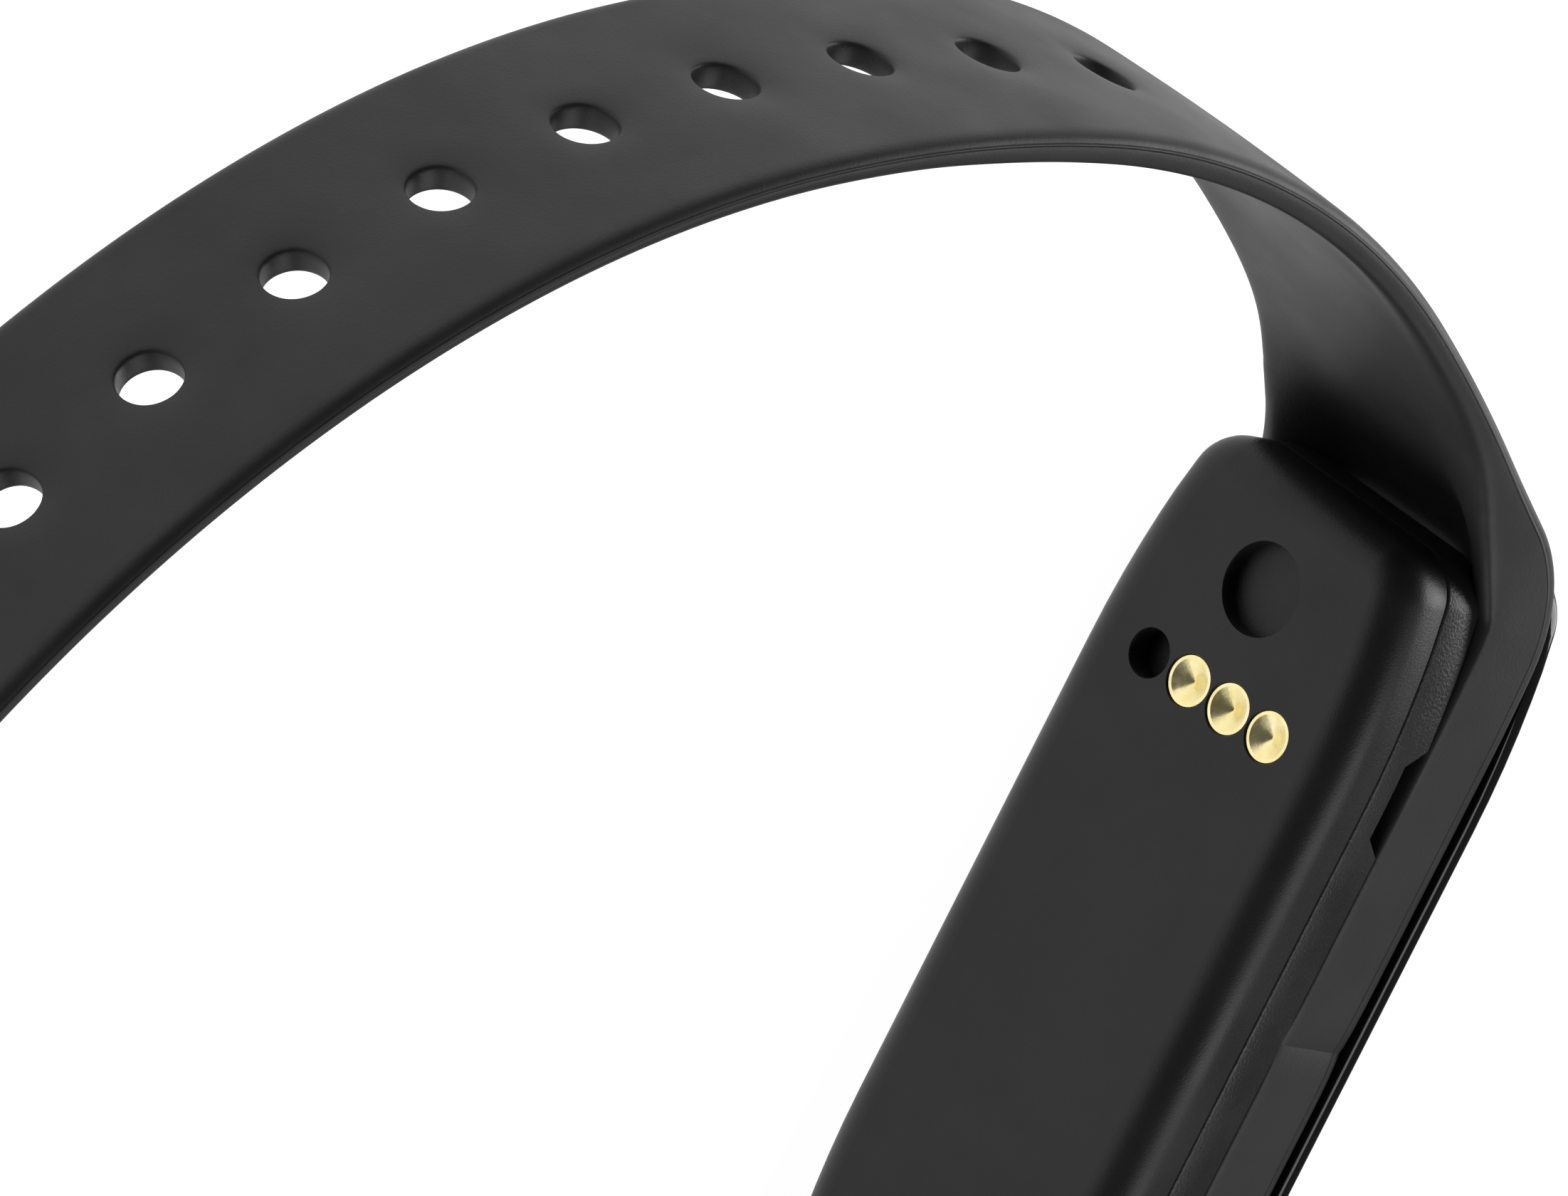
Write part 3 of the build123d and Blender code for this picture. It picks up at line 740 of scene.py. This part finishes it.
def shade_between(finish, shader, value, dark, light):
    """Vary the base colour between two shades."""
    mix = add_node(finish, "ShaderNodeMix", data_type="RGBA")
    mix.inputs["A"].default_value = (*dark, 1)
    mix.inputs["B"].default_value = (*light, 1)
    join(finish, value, mix.inputs["Factor"])
    join(finish, mix.outputs["Result"], shader.inputs["Base Color"])
    return mix


def add_bump(finish, shader, height, depth, before=None):
    """Surface relief, with its depth in millimetres."""
    bump = add_node(finish, "ShaderNodeBump")
    bump.inputs["Distance"].default_value = depth * MM
    bump.inputs["Strength"].default_value = 1.0
    join(finish, height, bump.inputs["Height"])
    if before is not None:
        join(finish, before, bump.inputs["Normal"])
    join(finish, bump.outputs["Normal"], shader.inputs["Normal"])
    return bump.outputs["Normal"]


def specks(finish, spacing, radius):
    """Scattered dust: small spots round the cell points of a Voronoi pattern."""
    place = add_node(finish, "ShaderNodeTexCoord")
    cells = add_node(finish, "ShaderNodeTexVoronoi")
    cells.inputs["Scale"].default_value = 1 / (spacing * MM)
    join(finish, place.outputs["Object"], cells.inputs["Vector"])
    return spread(finish, cells.outputs["Distance"], 1.0, 0.0, radius / spacing * 0.5, radius / spacing)


def moulded(name, shade, roughness, variation, grain, depth, dust=0.0):
    """Moulded plastic or rubber: fine grain, cloudy gloss and a little dust."""
    dark = [shade * 0.88] * 3
    light = [shade * 1.12] * 3
    finish, shader = new_finish(name, [shade] * 3, roughness)
    shader.inputs["Specular IOR Level"].default_value = 0.32
    clouds = noise(finish, 6.0)
    join(finish, spread(finish, clouds, roughness - variation, roughness + variation),
         shader.inputs["Roughness"])
    mix = shade_between(finish, shader, spread(finish, noise(finish, 2.5), 0, 1), dark, light)
    fine = add_bump(finish, shader, noise(finish, grain, 4.0), depth)
    if dust:
        spots = add_node(finish, "ShaderNodeMix", data_type="RGBA")
        spots.inputs["B"].default_value = (0.3, 0.3, 0.29, 1)
        join(finish, specks(finish, dust, 0.07), spots.inputs["Factor"])
        join(finish, mix.outputs["Result"], spots.inputs["A"])
        join(finish, spots.outputs["Result"], shader.inputs["Base Color"])
    return finish, shader, fine


def band_elastomer():
    """Matte black elastomer with a mould line along its sides."""
    finish, shader, fine = moulded("band_elastomer", 0.02, 0.5, 0.05, 0.16, 0.012, dust=5.0)
    depth = add_node(finish, "ShaderNodeAttribute", attribute_name="side_depth")
    offset = add_node(finish, "ShaderNodeMath", operation="SUBTRACT")
    offset.inputs[1].default_value = 0.62
    away = add_node(finish, "ShaderNodeMath", operation="ABSOLUTE")
    join(finish, depth.outputs["Fac"], offset.inputs[0])
    join(finish, offset.outputs[0], away.inputs[0])
    line = spread(finish, away.outputs[0], 0.0, 1.0, 0.02, 0.09)
    add_bump(finish, shader, line, 0.06, before=fine)
    return finish


def contact_gold():
    """Pale gold plating."""
    finish, shader = new_finish("contact_gold", (0.9, 0.76, 0.38), 0.24, 1.0)
    join(finish, spread(finish, noise(finish, 0.5), 0.18, 0.32), shader.inputs["Roughness"])
    clouds = spread(finish, noise(finish, 0.9), 0, 1)
    shade_between(finish, shader, clouds, (0.86, 0.72, 0.32), (0.96, 0.86, 0.5))
    add_bump(finish, shader, noise(finish, 0.12), 0.004)
    return finish


def metal(name, colour, roughness, stretch=(1, 1, 1)):
    """Machined or drawn metal, its marks drawn out along one way."""
    finish, shader = new_finish(name, colour, roughness, 1.0)
    marks = noise(finish, 0.25, 4.0, stretch)
    join(finish, spread(finish, marks, roughness - 0.07, roughness + 0.1), shader.inputs["Roughness"])
    dark = [value * 0.86 for value in colour]
    shade_between(finish, shader, spread(finish, noise(finish, 1.6), 0, 1), dark, colour)
    add_bump(finish, shader, marks, 0.004)
    return finish


def plain(name, colour, roughness, grain=0.3, depth=0.008):
    """Inner part: its colour with a little mottling and grain."""
    finish, shader = new_finish(name, colour, roughness)
    dark = [value * 0.8 for value in colour]
    shade_between(finish, shader, spread(finish, noise(finish, 1.2), 0, 1), dark, colour)
    clouds = spread(finish, noise(finish, 0.8), roughness - 0.06, roughness + 0.08)
    join(finish, clouds, shader.inputs["Roughness"])
    add_bump(finish, shader, noise(finish, grain, 4.0), depth)
    return finish


def lens_gloss():
    """Polished black, with a very slight wave."""
    finish, shader = new_finish("lens_gloss", (0.006, 0.006, 0.007), 0.06)
    shader.inputs["Specular IOR Level"].default_value = 0.35
    join(finish, spread(finish, noise(finish, 3.0), 0.04, 0.1), shader.inputs["Roughness"])
    add_bump(finish, shader, noise(finish, 4.0), 0.002)
    return finish


def make_finishes():
    """One finish for each slot of the record."""
    return {
        "band_elastomer": band_elastomer(),
        "cover_plastic": moulded("cover_plastic", 0.010, 0.42, 0.05, 0.09, 0.012, dust=7.0)[0],
        "housing_plastic": moulded("housing_plastic", 0.014, 0.36, 0.07, 0.14, 0.022, dust=6.0)[0],
        "lens_gloss": lens_gloss(),
        "adhesive_film": plain("adhesive_film", (0.02, 0.02, 0.02), 0.5),
        "seal_rubber": plain("seal_rubber", (0.03, 0.03, 0.03), 0.7),
        "contact_gold": contact_gold(),
        "spring_copper": metal("spring_copper", (0.75, 0.45, 0.26), 0.3),
        "board_laminate": plain("board_laminate", (0.02, 0.16, 0.07), 0.4),
        "screw_steel": metal("screw_steel", (0.58, 0.58, 0.6), 0.3, (1, 8, 1)),
        "chip_resin": plain("chip_resin", (0.03, 0.03, 0.032), 0.45, 0.1),
        "antenna_ceramic": plain("antenna_ceramic", (0.82, 0.82, 0.78), 0.35),
        "battery_foil": metal("battery_foil", (0.75, 0.76, 0.78), 0.36),
        "foam_pad": plain("foam_pad", (0.08, 0.08, 0.08), 0.85, 0.2, 0.08),
        "lead_red": plain("lead_red", (0.5, 0.03, 0.03), 0.45),
        "lead_black": plain("lead_black", (0.02, 0.02, 0.02), 0.45),
        "display_glass": plain("display_glass", (0.015, 0.015, 0.025), 0.12, 2.0, 0.001),
        "flex_film": plain("flex_film", (0.42, 0.2, 0.05), 0.35),
        "rotor_metal": metal("rotor_metal", (0.45, 0.45, 0.46), 0.4),
        "buckle_steel": metal("buckle_steel", (0.3, 0.3, 0.31), 0.28, (1, 1, 7)),
    }


def dress_nodes(finishes):
    """Give each CAD node the finish of its slot in the record."""
    for part in frame["record"]["subparts"]:
        node = frame["nodes"][part["node"]]
        node.data.materials.clear()
        node.data.materials.append(finishes[part["material_slot"]])


# --- stage ---
camera_place = Vector((0.38533, 1.35942, 0.96241))
camera_aim = Vector((0.0083, 0.0122, -0.01395))
camera_roll = 125.87


def make_camera():
    """Long lens from the skin side, turned so that the strap runs to the upper left."""
    data = bpy.data.cameras.new("camera")
    data.lens = 895.5
    data.sensor_width = 36.0
    data.clip_end = 20.0
    data.dof.use_dof = False
    camera = bpy.data.objects.new("camera", data)
    bpy.context.scene.collection.objects.link(camera)
    bpy.context.scene.camera = camera
    camera.location = camera_place
    camera.rotation_mode = "QUATERNION"
    level = (camera_aim - camera_place).to_track_quat("-Z", "Y")
    camera.rotation_quaternion = level @ Quaternion((0, 0, 1), math.radians(camera_roll))


def make_light(name, place, size, power, aim):
    """Round softbox, turned to what it lights."""
    data = bpy.data.lights.new(name, "AREA")
    data.shape = "DISK"
    data.size = size
    data.energy = power
    light = bpy.data.objects.new(name, data)
    bpy.context.scene.collection.objects.link(light)
    light.location = place
    light.rotation_mode = "QUATERNION"
    light.rotation_quaternion = (Vector(aim) - Vector(place)).to_track_quat("-Z", "Y")


def make_floor():
    """White paper just under the object, bright enough to hide the shadows."""
    bpy.ops.object.select_all(action="DESELECT")
    bpy.ops.mesh.primitive_plane_add(size=6, location=(0, 0, cad_box[0].z - 0.0002))
    floor = bpy.context.active_object
    floor.name = "floor"
    finish, shader = new_finish("floor_paper", (0.3, 0.3, 0.3), 0.9)
    shader.inputs["Emission Color"].default_value = (1, 1, 1, 1)
    shader.inputs["Emission Strength"].default_value = 0.97
    floor.data.materials.append(finish)


def make_studio():
    """Dim even room and three softboxes."""
    world = bpy.data.worlds.new("studio")
    world.use_nodes = True
    background = world.node_tree.nodes["Background"]
    background.inputs["Color"].default_value = (1, 1, 1, 1)
    background.inputs["Strength"].default_value = 0.1
    bpy.context.scene.world = world
    bpy.context.scene.view_settings.view_transform = "Standard"
    middle = (cad_box[0] + cad_box[1]) / 2
    make_light("softbox_high", middle + Vector((-0.35, -0.25, 0.75)), 0.7, 3.5, middle)
    make_light("softbox_back", middle + Vector((0.3, -0.8, 0.35)), 0.6, 5.0, middle)
    make_light("softbox_side", middle + Vector((-0.7, 0.35, 0.25)), 0.5, 1.5, middle)


def build_scene():
    """Make every visible piece, hang the keeper and the module's shells on their bodies, and hide the CAD
    nodes that the pieces replace.
    """
    finishes = make_finishes()
    dress_nodes(finishes)

    hole_side = make_band_hole_side()
    buckle_side = make_band_buckle_side()
    keeper = make_keeper()
    for piece in (hole_side, buckle_side, keeper):
        piece.data.materials.append(finishes["band_elastomer"])
    for piece, strap, side in ((hole_side, "hole_strap", 1), (buckle_side, "buckle_strap", -1)):
        start = on_route(4, 1.5, 0, side)
        end = on_route(26, 0.8, 0, side)
        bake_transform(piece)
        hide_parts(strap, "band_cradle")
    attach(keeper, "keeper")
    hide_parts("keeper_loop")

    for piece, node, slot in (
            (make_cover(), "back_cover", "cover_plastic"),
            (make_housing(), "upper_housing", "housing_plastic"),
            (make_lens(), "front_lens", "lens_gloss")):
        piece.data.materials.append(finishes[slot])
        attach(piece, "module_and_cradle")
        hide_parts(node)


make_camera()
make_floor()
make_studio()
build_scene()
